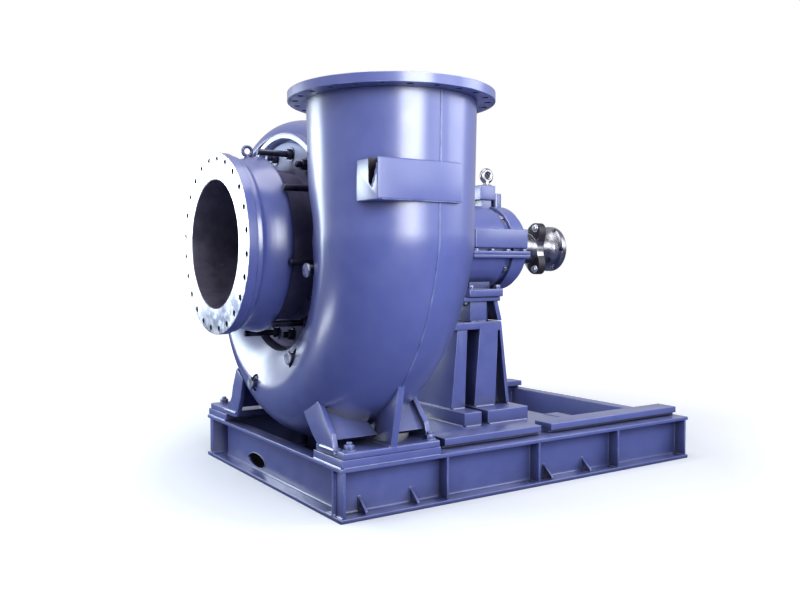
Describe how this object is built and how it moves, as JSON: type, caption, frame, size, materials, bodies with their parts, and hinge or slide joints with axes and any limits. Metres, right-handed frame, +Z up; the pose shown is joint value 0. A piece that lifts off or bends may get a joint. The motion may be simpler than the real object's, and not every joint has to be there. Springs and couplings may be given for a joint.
{
  "type": "centrifugal volute pump on a baseplate",
  "caption": "Horizontal end-suction volute pump with upright side discharge, split bearing housing and coupling half, on a fabricated steel baseplate.",
  "frame": {"origin": "on the underside of the baseplate, at the middle of its length, straight below the shaft", "axes": "+X along the shaft from the suction flange to the coupling, +Z up, and the discharge nozzle stands on the -Y side"},
  "size_m": [2.92, 2.3703, 2.1504],
  "materials": {
    "blue_enamel": "gloss blue-violet machine enamel over cast iron and welded steel",
    "machined_steel": "bare machined face",
    "dark_steel": "dark turned steel",
    "cast_alloy": "as-cast wear-resistant alloy"
  },
  "bodies": {
    "frame": {"volute_casing": "blue_enamel", "discharge_flange": "blue_enamel", "suction_flange": "machined_steel", "suction_cover": "blue_enamel", "suction_lifting_eye": "blue_enamel", "back_cover": "blue_enamel", "seal_housing": "blue_enamel", "bearing_bracket": "blue_enamel", "bearing_housing_upper": "blue_enamel", "bearing_housing_lower": "blue_enamel", "bearing_cover_drive": "blue_enamel", "bearing_end_cap": "blue_enamel", "housing_lifting_eye": "blue_enamel", "bearing_stool": "blue_enamel", "pedestal_cap": "blue_enamel", "pedestal_leg_suction": "blue_enamel", "pedestal_leg_drive": "blue_enamel", "pedestal_sill_suction": "blue_enamel", "pedestal_sill_drive": "blue_enamel", "casing_pad_near": "blue_enamel", "casing_pad_far": "blue_enamel", "base_beam_near": "blue_enamel", "base_beam_far": "blue_enamel", "base_end_beam_suction": "blue_enamel", "base_end_beam_drive": "blue_enamel", "base_cross_beam_casing": "blue_enamel", "base_cross_beam_middle": "blue_enamel", "base_cross_beam_pedestal": "blue_enamel", "base_deck_plate": "blue_enamel", "base_deck_strip_near": "blue_enamel", "base_deck_strip_far": "blue_enamel", "base_rail_near_1": "blue_enamel", "base_rail_near_2": "blue_enamel", "base_rail_far_1": "blue_enamel", "base_rail_far_2": "blue_enamel"},
    "rotor": {"impeller": "cast_alloy", "shaft": "dark_steel", "coupling_hub": "dark_steel"}
  },
  "joints": [
    {"name": "shaft_spin", "type": "hinge", "parent": "frame", "child": "rotor", "pos_m": [0, 0, 1.4], "axis": [1, 0, 0], "continuous": true}
  ]
}
